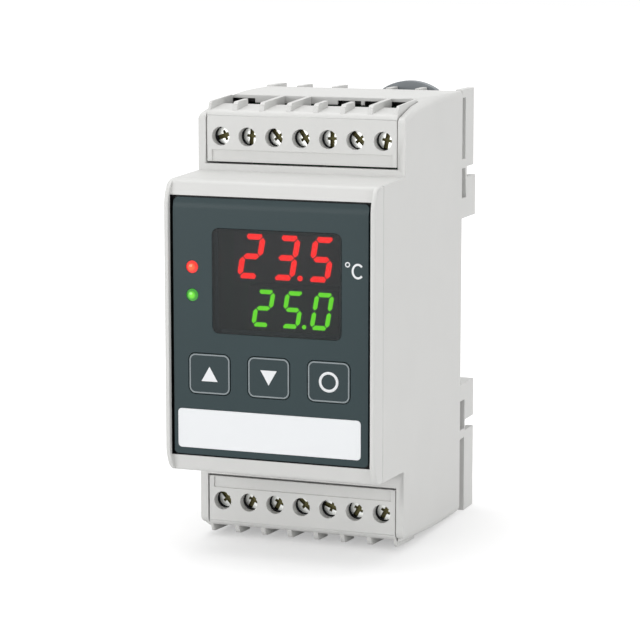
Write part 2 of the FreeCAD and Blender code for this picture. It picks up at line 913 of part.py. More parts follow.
def terminal_screw(x, z, angle):
    """Captive screw with a slotted cross head and a plain shank at its thread's diameter."""
    head = rod_y(x, z, head_radius, head_front, head_rear)
    shank = prism_y(x, z, shank_radius, head_rear, bar_front - thread_gap, thread_sides)
    screw = joined([head, shank])
    slot_end = head_front + slot_depth
    slot = box(-head_radius - 1, head_radius + 1, head_front - 1, slot_end, -slot_width / 2, slot_width / 2)
    cross = box(
        -cross_width / 2, cross_width / 2, head_front - 1, slot_end, -cross_length / 2, cross_length / 2,
    )
    recess = slot.fuse(cross)
    recess.rotate(Vector(0, 0, 0), Vector(0, -1, 0), angle)
    recess.translate(Vector(x, 0, z))
    return screw.cut(recess)


def terminal_clamp(x, z):
    """Rising cage: threaded front wall, open above and below so that the wire passes through."""
    cage = box(
        x - clamp_width / 2, x + clamp_width / 2, cage_front, cage_rear,
        z - clamp_height / 2, z + clamp_height / 2,
    )
    room = box(
        x - clamp_width / 2 + clamp_side, x + clamp_width / 2 - clamp_side,
        cage_front + clamp_front, cage_rear - clamp_rear,
        z - clamp_height, z + clamp_height,
    )
    thread = bore_y(
        x, z, shank_radius + thread_gap, cage_front - 1, cage_front + clamp_front + 1, thread_sides,
    )
    return cage.cut(room).cut(thread)


# Boards and components

def main_board():
    return box(
        -inner + fit_gap, inner - fit_gap, main_board_front, main_board_front + board_thickness,
        wall + fit_gap, height - wall - fit_gap,
    )


def display_board():
    return box(
        -inner + fit_gap, inner - fit_gap, board_front, board_front + board_thickness,
        seam_low + wall + fit_gap, seam_high - wall - fit_gap,
    )


def link_board():
    """Upright board between the display board and the main board."""
    x = inner - link_inset
    return box(
        x, x + board_thickness, board_front + board_thickness, main_board_front,
        mid - link_half_height, mid + link_half_height,
    )


def relay():
    sx, sy, sz = relay_size
    body = box(
        relay_left, relay_left + sx, main_board_front - sy, main_board_front,
        relay_low, relay_low + sz,
    )
    edges = [e for e in body.Edges if abs(e.tangentAt(e.FirstParameter).y) > 0.99]
    return body.makeChamfer(relay_bevel, edges)


def transformer():
    """Ferrite core around a wound bobbin."""
    sx, sy, sz = transformer_size
    mx, my, mz = bobbin_margin
    x0 = transformer_left
    z0 = transformer_low
    y0 = main_board_front - sy
    bobbin = box(x0 + mx, x0 + sx - mx, y0 + my, main_board_front, z0, z0 + sz)
    core = box(x0, x0 + sx, y0, main_board_front - core_lift, z0 + mz, z0 + sz - mz)
    return joined([bobbin, core])


def capacitor():
    front = main_board_front - capacitor_length
    return rod_y(capacitor_x, capacitor_z, capacitor_radius, front, main_board_front)


# Rail base

def base_side_face():
    """Outer side wall of the base: two upper and two lower blocks, bridges and slots."""
    strip_y = rail_depth - slot_level
    sill_y = strip_y + slot_lean
    step_y = rail_depth + notch_level
    step_back = overall_depth - rear_step
    top = height + base_rise
    bridge_low = rail_gap_high + bridge_rise
    bridge_high = bridge_low + bridge
    roof_bridge = height - top_bridge[0]
    upper = side_face(
        (shell_depth, top),
        (step_back, top),
        (step_back, rail_gap_high + upper_notch[1]),
        (step_y, rail_gap_high + upper_notch[1]),
        (step_y, rail_gap_high + upper_notch[0]),
        (overall_depth, rail_gap_high + upper_notch[0]),
        (overall_depth, rail_gap_high),
        (shell_depth, rail_gap_high),
        (shell_depth, rail_gap_high + upper_slot),
        (sill_y, rail_gap_high + upper_slot),
        (strip_y, bridge_low),
        (shell_depth, bridge_low),
        (shell_depth, bridge_high),
        (strip_y, bridge_high),
        (strip_y, roof_bridge),
        (shell_depth, roof_bridge),
    )
    foot_low = rail_gap_low - bridge_drop
    foot_high = foot_low + bridge
    lower = side_face(
        (shell_depth, rail_gap_low),
        (overall_depth, rail_gap_low),
        (overall_depth, rail_gap_low - lower_notch[0]),
        (step_y, rail_gap_low - lower_notch[0]),
        (step_y, rail_gap_low - lower_notch[1]),
        (overall_depth, rail_gap_low - lower_notch[1]),
        (overall_depth, 0),
        (sill_y, 0),
        (sill_y, foot_low),
        (shell_depth, foot_low),
        (shell_depth, foot_high),
        (sill_y, foot_high),
        (sill_y, rail_gap_low - lower_slot),
        (shell_depth, rail_gap_low - lower_slot),
    )
    return upper, lower


def rail_base():
    upper, lower = base_side_face()
    pieces = []
    for x0 in (-half, half - block_wall):
        pieces.append(across(upper, x0, x0 + block_wall))
        pieces.append(across(lower, x0, x0 + block_wall))
    plate_half = half - block_wall
    pieces.append(box(
        -plate_half, plate_half, plate_front, rail_depth, rail_gap_low - shelf, rail_gap_high + shelf,
    ))
    # Recessed plate, narrower beside the side slots, and the strips that reach the side walls
    recessed = plate_front + plate_thickness / 2
    slot_half = half - slot_margin
    pieces.append(box(-slot_half, slot_half, shell_depth, recessed, base_margin, height - base_margin))
    foot_low = rail_gap_low - bridge_drop
    bridge_low = rail_gap_high + bridge_rise
    for z0, z1 in (
        (foot_low, foot_low + bridge),
        (rail_gap_low - lower_slot, rail_gap_high + upper_slot),
        (bridge_low, bridge_low + bridge),
        (height - top_bridge[0], height - top_bridge[1]),
    ):
        pieces.append(box(-plate_half, plate_half, shell_depth, recessed, z0, z1))
    # Spigot that plugs into the open rear of the housing
    plug = inner - fit_gap
    ring = box(-plug, plug, shell_depth - spigot_depth, shell_depth, wall + fit_gap, height - wall - fit_gap)
    ring_room = box(
        -plug + spigot_wall, plug - spigot_wall, 0, shell_depth + 1,
        wall + fit_gap + spigot_wall, height - wall - fit_gap - spigot_wall,
    )
    pieces.append(ring.cut(ring_room))
    # Posts that carry the main board
    post_front = main_board_front + board_thickness
    for x in (-plug + post_inset_x, plug - post_inset_x):
        for z in (post_inset_z, height - post_inset_z):
            pieces.append(box(
                x - post_size / 2, x + post_size / 2, post_front, recessed,
                z - post_size / 2, z + post_size / 2,
            ))
    # Shelves above and below the rail, and the floor of the lower blocks
    pieces.append(box(-plate_half, plate_half, plate_front, overall_depth, rail_gap_high, rail_gap_high + shelf))
    pieces.append(box(-plate_half, plate_half, plate_front, overall_depth, rail_gap_low - shelf, rail_gap_low))
    pieces.append(box(-plate_half, plate_half, plate_front + foot_set_back, overall_depth, 0, shelf))
    # Upright ribs
    rib_top = height + rib_top_over_roof
    guide_front = latch_front - slide_gap
    for x in left_rib_x:
        pieces.append(box(
            x - rib_wall / 2, x + rib_wall / 2, plate_front, overall_depth - rear_step, rail_gap_high, rib_top,
        ))
    for x in right_rib_x:
        pieces.append(box(
            x - rib_wall / 2, x + rib_wall / 2, plate_front, guide_front, rail_gap_high, rib_top,
        ))
    for x in left_rib_x + right_rib_x:
        pieces.append(box(x - rib_wall / 2, x + rib_wall / 2, plate_front, overall_depth, 0, rail_gap_low))
        pieces.append(hook(x))
    # Guide channels of the latch
    edge = latch_width / 2 + slide_gap
    guide_top = height - guide_drop
    for side in (-1, 1):
        x_in = latch_x + side * edge
        x_out = x_in + side * rib_wall
        x_lip = x_in - side * lip
        pieces.append(box(
            min(x_in, x_out), max(x_in, x_out), plate_front, overall_depth, rail_gap_high, guide_top,
        ))
        pieces.append(box(
            min(x_lip, x_out), max(x_lip, x_out), latch_front + latch_thickness + slide_gap, overall_depth,
            rail_gap_high + shelf + latch_travel, guide_top,
        ))
    # Stop for the latch spring
    pieces.append(box(
        right_rib_x[0], right_rib_x[1], plate_front, guide_front, spring_stop, spring_stop + rib_wall,
    ))
    base = joined(pieces)
    # Way through the upper shelf for the latch's nose
    nose_way = box(
        latch_x - nose_width / 2 - slide_gap, latch_x + nose_width / 2 + slide_gap,
        rail_depth, overall_depth + 1, rail_gap_high - 1, rail_gap_high + shelf,
    )
    return base.cut(nose_way)


def hook(x):
    """Fixed hook behind the lower brim of the rail."""
    return across(
        side_face(
            (rail_back, rail_gap_low - shelf),
            (rail_back, rail_gap_low + hook_lip),
            (rail_back + hook_thickness / 3, rail_gap_low + hook_lip),
            (rail_back + hook_thickness, rail_gap_low + hook_lip / 3),
            (rail_back + hook_thickness, rail_gap_low - shelf),
        ),
        x - hook_width / 2,
        x + hook_width / 2,
    )


def rail_latch():
    """Sliding plate with a curved pull tab above the roof and a nose behind the rail."""
    y0 = latch_front
    y1 = latch_front + latch_thickness
    left = latch_x - latch_width / 2
    right = latch_x + latch_width / 2
    foot = rail_gap_high + shelf + slide_gap
    low_left = Vector(left, y0, foot)
    low_right = Vector(right, y0, foot)
    top_left = Vector(left, y0, latch_tab_low)
    top_right = Vector(right, y0, latch_tab_low)
    edges = [
        Part.LineSegment(low_left, top_left).toShape(),
        Part.Arc(top_left, Vector(latch_x, y0, latch_tab_high), top_right).toShape(),
        Part.LineSegment(top_right, low_right).toShape(),
        Part.LineSegment(low_right, low_left).toShape(),
    ]
    plate = Part.Face(Part.Wire(edges)).extrude(Vector(0, y1 - y0, 0))
    nose = across(
        side_face(
            (y1, nose_tip + nose_bevel),
            (y0, nose_tip),
            (rail_back, nose_tip),
            (rail_back, seat_low),
            (rail_depth + seat_gap, seat_low),
            (rail_depth + seat_gap, seat_high),
            (y0, seat_high),
            (y0, seat_high + latch_thickness),
            (y1, seat_high + latch_thickness),
        ),
        latch_x - nose_width / 2,
        latch_x + nose_width / 2,
    )
    return joined([plate, nose])


def latch_spring():
    """Moulded spring: a strip that runs to and fro between the latch's nose and its stop."""
    low = seat_high + thread_gap
    high = spring_stop - thread_gap
    front = rail_depth + fit_gap
    rear = latch_front - fit_gap
    left = spring_x - spring_width / 2
    right = spring_x + spring_width / 2
    rise = (high - low - spring_strip) / spring_bends
    pieces = []
    for i in range(spring_bends + 1):
        z = low + i * rise
        pieces.append(box(left, right, front, rear, z, z + spring_strip))
    for i in range(spring_bends):
        z = low + i * rise
        x = right - spring_strip if i % 2 else left
        pieces.append(box(x, x + spring_strip, front, rear, z, z + rise + spring_strip))
    return joined(pieces)


def build():
    """Every piece by its node name."""
    cover = terminal_cover()
    block = terminal_block()
    bars = contact_bars()
    pieces = {
        "housing": housing(),
        "rail_base": rail_base(),
        "front_frame": front_frame(),
        "front_panel": front_panel(),
        "display_window": display_window(),
        "label_strip": label_strip(),
        "up_key": key(key_x[0]),
        "down_key": key(key_x[1]),
        "set_key": key(key_x[2]),
        "red_lamp": lamp(red_lamp_z),
        "green_lamp": lamp(green_lamp_z),
        "process_display": display_module(process_row),
        "setpoint_display": display_module(setpoint_row),
        "process_segments": readout(process_row, [segment_sets[c] for c in "235"], module_face),
        "setpoint_segments": readout(setpoint_row, [segment_sets[c] for c in "250"], module_face),
        "key_switches": key_switches(),
        "upper_terminal_cover": cover,
        "lower_terminal_cover": flipped(cover),
        "upper_terminal_block": block,
        "lower_terminal_block": flipped(block),
        "upper_contact_bars": bars,
        "lower_contact_bars": flipped(bars),
        "main_board": main_board(),
        "display_board": display_board(),
        "link_board": link_board(),
        "relay": relay(),
        "transformer": transformer(),
        "capacitor": capacitor(),
        "rail_latch": rail_latch(),
        "latch_spring": latch_spring(),
    }
    for i, x in enumerate(pole_x):
        z_up = mid + screw_offset
        z_down = mid - screw_offset
        angle = i % len(slot_angles_upper)
        pieces[f"upper_screw_{i + 1}"] = terminal_screw(x, z_up, slot_angles_upper[angle])
        pieces[f"lower_screw_{i + 1}"] = terminal_screw(x, z_down, slot_angles_lower[angle])
        pieces[f"upper_clamp_{i + 1}"] = terminal_clamp(x, z_up)
        pieces[f"lower_clamp_{i + 1}"] = terminal_clamp(x, z_down)
    return pieces


def place(shape):
    shape.translate(Vector(0, -overall_depth / 2, 0))
    return shape


def main():
    os.makedirs("parts", exist_ok=True)
    for name, shape in build().items():
        place(shape).exportStep(f"parts/{name}.step")
        print(name, "solids", len(shape.Solids), "valid", shape.isValid(), "mm3", round(shape.Volume, 1))


main()
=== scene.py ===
# %% [markdown]
# # A temperature controller for a mounting rail
#
# The unit is an upright box of light grey plastic. Its raised front carries a slate panel with two
# rows of lit digits, three keys and a white strip. Screw terminals lie above and below the front,
# and a sprung latch at the back holds the unit on a rail.
#
# The construction comes in as a fixed frame: each real piece is one node, in metres, in the place
# where it belongs. This lesson gives those pieces their finish, rounds the edges of the mouldings,
# adds the printed signs, and then lights and films the unit.

# %% Load the frame
import json
import math
import bmesh
import bpy
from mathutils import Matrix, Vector


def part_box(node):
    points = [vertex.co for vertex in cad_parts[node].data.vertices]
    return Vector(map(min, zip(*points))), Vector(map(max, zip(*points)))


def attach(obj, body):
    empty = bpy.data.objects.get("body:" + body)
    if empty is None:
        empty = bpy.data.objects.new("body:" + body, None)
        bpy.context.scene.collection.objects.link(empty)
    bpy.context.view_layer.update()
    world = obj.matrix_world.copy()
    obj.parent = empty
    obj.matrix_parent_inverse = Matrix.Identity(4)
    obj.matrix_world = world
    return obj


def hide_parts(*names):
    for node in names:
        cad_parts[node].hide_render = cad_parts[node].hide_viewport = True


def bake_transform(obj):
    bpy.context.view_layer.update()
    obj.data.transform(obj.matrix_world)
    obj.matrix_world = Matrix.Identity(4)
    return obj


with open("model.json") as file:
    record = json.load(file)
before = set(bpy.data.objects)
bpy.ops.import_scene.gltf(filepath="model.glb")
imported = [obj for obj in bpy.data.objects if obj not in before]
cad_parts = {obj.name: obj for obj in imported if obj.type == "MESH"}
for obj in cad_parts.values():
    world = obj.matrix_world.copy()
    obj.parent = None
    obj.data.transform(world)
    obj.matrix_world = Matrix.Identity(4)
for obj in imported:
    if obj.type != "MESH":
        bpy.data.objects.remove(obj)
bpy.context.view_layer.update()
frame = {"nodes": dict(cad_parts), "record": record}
nodes = frame["nodes"]
mm = 0.001

# %% [markdown]
# ## Shader maths as plain expressions
#
# A plastic moulding is never one flat colour: its grain, its gloss and its tone drift a little. Such
# drifts are sums and products of noise. Blender writes each sum as a node, which is slow to read, so
# a small class wraps a socket and lets Python's own operators add the nodes.

# %% Wrap a socket so that it can be used in an expression
class Amount:
    """A number that varies over a surface. Operators on it add Math nodes."""

    def __init__(self, finish, socket):
        self.finish = finish
        self.socket = socket

    def _maths(self, operation, first, second):
        values = {0: first, 1: second}
        return self.finish.node("ShaderNodeMath", {"operation": operation}, values)

    def __add__(self, other):
        return self._maths("ADD", self, other)

    def __radd__(self, other):
        return self._maths("ADD", other, self)

    def __sub__(self, other):
        return self._maths("SUBTRACT", self, other)

    def __rsub__(self, other):
        return self._maths("SUBTRACT", other, self)

    def __mul__(self, other):
        return self._maths("MULTIPLY", self, other)

    def __rmul__(self, other):
        return self._maths("MULTIPLY", other, self)


# %% [markdown]
# ## One material, one finish
#
# Each finish starts from the Principled shader. Numbers that are the same all over go straight on the
# shader's sockets. What varies reads Object coordinates, which stay with the piece when it moves.

# %% Build a finish
def linear(r, g, b):
    """Colour as a paint chart gives it, from 0 to 255, turned into the shader's linear values."""
    def channel(value):
        value = value / 255
        return value / 12.92 if value <= 0.04045 else ((value + 0.055) / 1.055) ** 2.4
    return (channel(r), channel(g), channel(b), 1.0)


# Width of the soft change at the edge of a masked region.
edge_blur = 0.03 * mm


class Finish:
    """A material that is put together from calls."""

    def __init__(self, name, colour, roughness, metallic=0.0, **constants):
        self.material = bpy.data.materials.new(name)
        self.material.use_nodes = True
        self.tree = self.material.node_tree
        self.shader = self.tree.nodes["Principled BSDF"]
        self.feed("Base Color", colour)
        self.feed("Roughness", roughness)
        self.feed("Metallic", metallic)
        for label, value in constants.items():
            self.feed(label.replace("_", " ").title().replace("Ior", "IOR"), value)
        self.place = self.node("ShaderNodeTexCoord", output="Object")

    def feed(self, label, value):
        """Set or link a socket of the shader."""
        self.connect(self.shader.inputs[label], value)

    def connect(self, socket, value):
        if isinstance(value, Amount):
            self.tree.links.new(value.socket, socket)
        else:
            socket.default_value = value

    def node(self, kind, settings=None, values=None, output=0):
        """Add a node: its settings first, then the values or links of its sockets."""
        node = self.tree.nodes.new(kind)
        for label, value in (settings or {}).items():
            setattr(node, label, value)
        for label, value in (values or {}).items():
            self.connect(node.inputs[label], value)
        return Amount(self, node.outputs[output])

    def noise(self, size, detail=2.0, stretch=(1, 1, 1)):
        """Noise from 0 to 1 whose blotches are about size metres across."""
        spot = self.node("ShaderNodeMapping", values={"Vector": self.place, "Scale": stretch})
        values = {"Vector": spot, "Scale": 1 / size, "Detail": detail}
        return self.node("ShaderNodeTexNoise", values=values)

    def along(self, axis):
        """Object coordinate along x, y or z, in metres."""
        return self.node("ShaderNodeSeparateXYZ", values={"Vector": self.place}, output="xyz".index(axis))

    def step(self, value, edge, blur):
        """0 below the edge and 1 above it, with a soft change blur wide."""
        values = {"Value": value, "From Min": edge - blur / 2, "From Max": edge + blur / 2}
        return self.node("ShaderNodeMapRange", {"interpolation_type": "SMOOTHSTEP"}, values)

    def within(self, **limits):
        """1 inside a box of Object coordinates and 0 outside it. Each limit is (low, high)."""
        mask = 1.0
        for axis, (low, high) in limits.items():
            value = self.along(axis)
            mask = self.step(value, low, edge_blur) * (1 - self.step(value, high, edge_blur)) * mask
        return mask

    def tint(self, amount, colour, other):
        """Blend two colours by an amount from 0 to 1."""
        settings = {"data_type": "RGBA"}
        values = {0: amount, 6: colour, 7: other}
        return self.node("ShaderNodeMix", settings, values, output=2)

    def relief(self, height, depth):
        """Let a height drive the surface's normal, depth metres high."""
        values = {"Height": height, "Distance": depth, "Strength": 1.0}
        self.feed("Normal", self.node("ShaderNodeBump", values=values))


def shade(colour, factor):
    """The colour times a factor, no brighter than white."""
    return tuple(min(1.0, channel * factor) for channel in colour[:3]) + (1.0,)


# %% [markdown]
# ## Moulded plastic
#
# The housing, the covers and the rail base are moulded in one light grey plastic. The tool that
# shaped them was finely sparked, so the surface has a grain of about a fifth of a millimetre. A second
# and much wider noise moves the tone by a percent or two, as the flow of the plastic does.

# %% Plastic finishes
cloud_size = 14 * mm
gloss_swing = 0.05


def moulded(name, colour, roughness=0.45, grain=0.22 * mm, depth=0.006 * mm, drift=0.03,
            ior=1.45, shade_mask=None, shade_colour=None):
    """Grained plastic. The mask function gives a region painted in a darker colour, as shade."""
    finish = Finish(name, colour, roughness, ior=ior)
    cloud = finish.noise(cloud_size)
    tone = finish.tint(cloud, shade(colour, 1 - drift), shade(colour, 1 + drift))
    # Painted shade: the masked region takes the darker colour.
    if shade_mask:
        tone = finish.tint(shade_mask(finish), tone, shade_colour)
    finish.feed("Base Color", tone)
    fine = finish.noise(grain, detail=3.0)
    finish.feed("Roughness", roughness - gloss_swing + fine * 2 * gloss_swing)
    finish.relief(fine, depth)
    return finish.material


housing_grey = linear(213, 213, 211)
plastic = moulded("light_grey_plastic", housing_grey, roughness=0.5)
print_white = moulded("white_print", linear(232, 234, 236), roughness=0.5, drift=0.01)
# A light grey line drawn near each key's edge.
outline_grey = moulded("key_outline_grey", linear(140, 148, 151), roughness=0.5, drift=0.01)
panel_plastic = moulded("slate_panel", linear(44, 60, 63), roughness=0.38, drift=0.04, ior=1.33)
key_plastic = moulded("slate_keys", linear(43, 58, 61), roughness=0.36, drift=0.04, ior=1.33)
label_film = moulded("white_film", linear(234, 236, 238), roughness=0.4, grain=0.5 * mm,
                     depth=0.002 * mm, drift=0.01)
latch_plastic = moulded("grey_latch", linear(132, 137, 141), roughness=0.5)
block_plastic = moulded("terminal_body", linear(46, 47, 49), roughness=0.55)
display_plastic = moulded("display_body", linear(84, 87, 87), roughness=0.6)
dark_plastic = moulded("black_moulding", linear(28, 28, 30), roughness=0.5)
relay_case = moulded("relay_case", linear(38, 60, 110), roughness=0.35)
ferrite = moulded("ferrite", linear(52, 52, 55), roughness=0.75, grain=0.4 * mm, depth=0.02 * mm)
sleeve = moulded("capacitor_sleeve", linear(34, 38, 60), roughness=0.25)

# %% [markdown]
# ## Painted shade in the light plastic
#
# A few places of the light mouldings are painted darker where shade falls: the gap round the panel,
# the roof's inside behind the wire entries, the groove behind the frame and the rail base's plate in
# its slots. Each is a box in Object coordinates, sized from the nodes that bound it.

# %% Housing, frame and rail base
panel_low, panel_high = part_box("front_panel")
housing_low, housing_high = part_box("housing")
cover_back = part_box("upper_terminal_cover")[1].y

# Past a face of the housing, so that the mask doesn't end on it.
beyond = 1 * mm

# The painted shade in the gap round the panel: its reach beside and above the panel, and the depth
# where it starts and ends behind the panel's face and back.
gap_beside = 0.67 * mm
gap_above = 0.37 * mm
shade_start = 0.12 * mm
shade_end = 0.1 * mm

# The painted shade on the roof's inside: the side wall, the roof's skin, and how far down and
# behind the cover it shows.
side_wall = 1.7 * mm
roof_skin = 0.85 * mm
entry_depth = 9 * mm
entry_start = 0.3 * mm

# Depth of the painted shade in the groove behind the frame.
groove_depth = 0.18 * mm

# Painted shade on the plate in the rail base: in from the sides, in from the ends, and its front and
# back.
plate_inset = 3.9 * mm
plate_margin = 0.5 * mm
plate_front = 9 * mm
plate_back = 1.95 * mm


def panel_gap_shade(finish):
    """The narrow gap round the front panel, painted near black as shade."""
    return finish.within(
        x=(panel_low.x - gap_beside, panel_high.x + gap_beside),
        y=(panel_low.y + shade_start, panel_high.y + shade_end),
        z=(panel_low.z - gap_above, panel_high.z + gap_above),
    )


def entry_shade(finish):
    """The roof's underside behind the wire entries, painted near black as shade."""
    return finish.within(
        x=(housing_low.x + side_wall, housing_high.x - side_wall),
        y=(cover_back + entry_start, housing_high.y + beyond),
        z=(housing_high.z - entry_depth, housing_high.z - roof_skin),
    )


def groove_shade(finish):
    """The fine groove between the frame and the housing, painted near black as shade."""
    return finish.within(
        x=(housing_low.x - beyond, housing_high.x + beyond),
        y=(housing_low.y - beyond, housing_low.y + groove_depth),
        z=(housing_low.z, housing_high.z),
    )


def shell_shade(finish):
    """Both places of the housing that are painted near black as shade."""
    return finish.node("ShaderNodeMath", {"operation": "MAXIMUM"},
                       {0: entry_shade(finish), 1: groove_shade(finish)})


def slot_shade(finish):
    """Recessed plate edges seen through the rail base's side slots, painted darker as shade."""
    return finish.within(
        x=(housing_low.x + plate_inset, housing_high.x - plate_inset),
        y=(housing_high.y - plate_front, housing_high.y + plate_back),
        z=(housing_low.z + plate_margin, housing_high.z - plate_margin),
    )


# The frame is painted near black in the gap round the panel, as shade.
frame_plastic = moulded("frame_plastic", housing_grey, roughness=0.45,
                        shade_mask=panel_gap_shade, shade_colour=linear(12, 14, 16))
# The shell is painted near black behind the wire entries and in the groove, as shade.
shell_plastic = moulded("shell_plastic", housing_grey, roughness=0.5,
                        shade_mask=shell_shade, shade_colour=linear(24, 24, 25))
# The rail base's plate is painted darker in its slots, as shade.
base_plastic = moulded("base_plastic", housing_grey, roughness=0.5,
                       shade_mask=slot_shade, shade_colour=linear(104, 105, 106))

# %% [markdown]
# ## Lit plastic and the smoked window
#
# The digits glow behind a thin sheet of smoked plastic. Its back and its front each let two fifths
# of their light through, so about a sixth arrives in front. Their emission is made stronger by that
# share, and what arrives is then the colour as written.

# %% Glowing digits and the window
window_alpha = 0.6
window_share = (1 - window_alpha) ** 2
unlit_share = 0.3
dim_share = 0.85


def glowing(name, colour, strength):
    """A lit segment, a little uneven as the chips behind it are."""
    finish = Finish(name, shade(colour, unlit_share), 0.5)
    cloud = finish.noise(1.2 * mm)
    finish.feed("Emission Color", finish.tint(cloud, shade(colour, dim_share), colour))
    finish.feed("Emission Strength", strength)
    return finish.material


red_light = glowing("red_segments", linear(255, 18, 14), 1.0 / window_share)
green_light = glowing("green_segments", linear(100, 222, 8), 0.92 / window_share)


def smoked_window():
    """Dark see-through plastic with a satin face."""
    finish = Finish("smoked_window", linear(50, 53, 54), 0.22, ior=1.3)
    cloud = finish.noise(9 * mm)
    finish.feed("Base Color", finish.tint(cloud, linear(48, 51, 52), linear(53, 56, 57)))
    finish.feed("Alpha", window_alpha)
    return finish.material


window_finish = smoked_window()

# %% [markdown]
# ## Lenses of the two lamps
#
# A light pipe is brightest where the lamp sits behind its middle. The distance from that middle,
# worked out from two coordinates, drives the change from the bright core to the deep rim.

# %% Lens finish
# Where the bright core ends, as a share of the squared radius, and how softly.
core_share = 0.3
core_blur = 0.55

# How much of the glow's colour the plastic itself has, in the core and at the rim.
core_body = 0.5
rim_body = 0.6


def lens(name, piece, core, rim, strength):
    """A clear lens over a light pipe, bright in the middle of its piece."""
    low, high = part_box(piece)
    finish = Finish(name, rim, 0.18, coat_weight=0.5, coat_roughness=0.05)
    across = finish.along("x") - (low.x + high.x) / 2
    upward = finish.along("z") - (low.z + high.z) / 2
    radius = (high.x - low.x) / 2
    far = (across * across + upward * upward) * (1 / radius ** 2)
    mask = finish.step(far, core_share, core_blur)
    finish.feed("Base Color", finish.tint(mask, shade(core, core_body), shade(rim, rim_body)))
    finish.feed("Emission Color", finish.tint(mask, core, rim))
    finish.feed("Emission Strength", strength)
    return finish.material


red_lens = lens("red_lens", "red_lamp", linear(255, 84, 30), linear(216, 26, 14), 1.0)
green_lens = lens("green_lens", "green_lamp", linear(104, 214, 30), linear(36, 136, 14), 0.8)

# %% [markdown]
# ## Metals
#
# The screws are nickel-plated, bright on their faces and dull in the driver's slots. A stretched noise
# stands for the tool marks. The clamps are stamped and zinc-plated, and the contact bars are tinned.

# %% Metal finishes
mark_depth = 0.004 * mm
mark_gloss = 0.08
darkest = 0.86
brightest = 1.06

# Behind the head's face, where the slot's dull colour starts, and how softly.
slot_start = 0.2 * mm
slot_blur = 0.1 * mm


def plated(name, colour, roughness, grain, stretch):
    """Plated metal with tool marks that run across the stretch."""
    finish = Finish(name, colour, roughness, metallic=1.0)
    marks = finish.noise(grain, detail=4.0, stretch=stretch)
    cloud = finish.noise(1.5 * mm)
    finish.feed("Base Color", finish.tint(cloud, shade(colour, darkest), shade(colour, brightest)))
    finish.feed("Roughness", roughness - mark_gloss + marks * 2 * mark_gloss)
    finish.relief(marks, mark_depth)
    return finish.material


def screw_plate():
    """Nickel, duller and a darker olive in the driver's slots, which lie behind the heads' faces."""
    finish = Finish("nickel_plate", linear(246, 247, 244), 0.34)
    marks = finish.noise(0.3 * mm, detail=4.0, stretch=(1, 0.2, 1))
    cloud = finish.noise(1.2 * mm)
    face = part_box("upper_screw_1")[0].y
    slot = finish.step(finish.along("y"), face + slot_start, slot_blur)
    bright = finish.tint(cloud, linear(236, 238, 234), linear(252, 253, 250))
    finish.feed("Base Color", finish.tint(slot, bright, linear(124, 118, 74)))
    finish.feed("Roughness", 0.26 + marks * 0.14 + slot * 0.3)
    finish.feed("Metallic", 0.85 - slot * 0.55)
    finish.relief(marks, mark_depth)
    return finish.material


nickel = screw_plate()
zinc = plated("zinc_plate", linear(150, 152, 150), 0.45, 0.4 * mm, (0.3, 1, 1))
tin = plated("tinned_bar", linear(176, 170, 146), 0.42, 0.3 * mm, (1, 1, 0.2))

# %% [markdown]
# ## Circuit board
#
# Solder mask is a thin green lacquer over copper. The tracks under it show as slightly paler lines,
# which a stretched noise, cut off sharply, stands for.

# %% Circuit board finish
track_size = 1.6 * mm
track_cut = 0.52
track_height = 0.02 * mm
track_tone = 1.5


def board_finish():
    """Green lacquer with raised, paler tracks under it."""
    green = linear(26, 92, 52)
    finish = Finish("solder_mask", green, 0.35, coat_weight=0.5, coat_roughness=0.15)
    tracks = finish.noise(track_size, detail=0.0, stretch=(1, 1, 0.12))
    step = finish.node("ShaderNodeMath", {"operation": "GREATER_THAN"}, {0: tracks, 1: track_cut})
    finish.feed("Base Color", finish.tint(step, green, shade(green, track_tone)))
    finish.relief(step, track_height)
    return finish.material


solder_mask = board_finish()

# %% [markdown]
# ## Dress the frame's nodes
#
# Every node takes a finish. The screws and clamps are named by number, so one loop finds them all.

# %% Give each node its finish
finishes = {
    "housing": shell_plastic, "rail_base": base_plastic, "front_frame": frame_plastic,
    "upper_terminal_cover": plastic, "lower_terminal_cover": plastic,
    "front_panel": panel_plastic, "display_window": window_finish, "label_strip": label_film,
    "up_key": key_plastic, "down_key": key_plastic, "set_key": key_plastic,
    "red_lamp": red_lens, "green_lamp": green_lens,
    "process_segments": red_light, "setpoint_segments": green_light,
    "process_display": display_plastic, "setpoint_display": display_plastic,
    "key_switches": dark_plastic,
    "upper_terminal_block": block_plastic, "lower_terminal_block": block_plastic,
    "upper_contact_bars": tin, "lower_contact_bars": tin,
    "main_board": solder_mask, "display_board": solder_mask, "link_board": solder_mask,
    "relay": relay_case, "transformer": ferrite, "capacitor": sleeve,
    "rail_latch": latch_plastic, "latch_spring": latch_plastic,
}
for name in nodes:
    if "_screw_" in name:
        finishes[name] = nickel
    if "_clamp_" in name:
        finishes[name] = zinc
for name, piece in nodes.items():
    piece.data.materials.clear()
    piece.data.materials.append(finishes[name])
print("finishes given to", len(finishes), "nodes")

# %% [markdown]
# ## Soft edges on the mouldings
#
# No moulded edge is a knife edge: it has a radius of a tenth or two of a millimetre that catches the
# light as a thin line. The construction's edges are sharp, so each large moulding is copied, its loose
# triangles are merged into clean faces, and its outer edges are bevelled. The copy then stands for
# the node. Bevels are worked out in millimetres, where the tool's own tolerances are small.

# %% Bevel a copy of a node
# In millimetres: points closer than this are one.
merge_reach = 0.002

# In degrees: faces this flat are merged, faces this flat are one region for the normals, an edge this
# sharp is bevelled, and an edge up to this sharp is shaded smooth.
merge_angle = 0.3
region_angle = 0.5
bevel_angle = 40
smooth_angle = 50

# In bevel radii: the face width that a bevel needs, and the shortest side at its ends.
room = 2.2
end_room = 1.2

# Faces with more corners than this are cut into convex ones before the bevel.
most_corners = 8


def crease(edge):
    """Signed angle between the edge's faces, positive where the edge is convex."""
    return edge.calc_face_angle_signed(0.0)


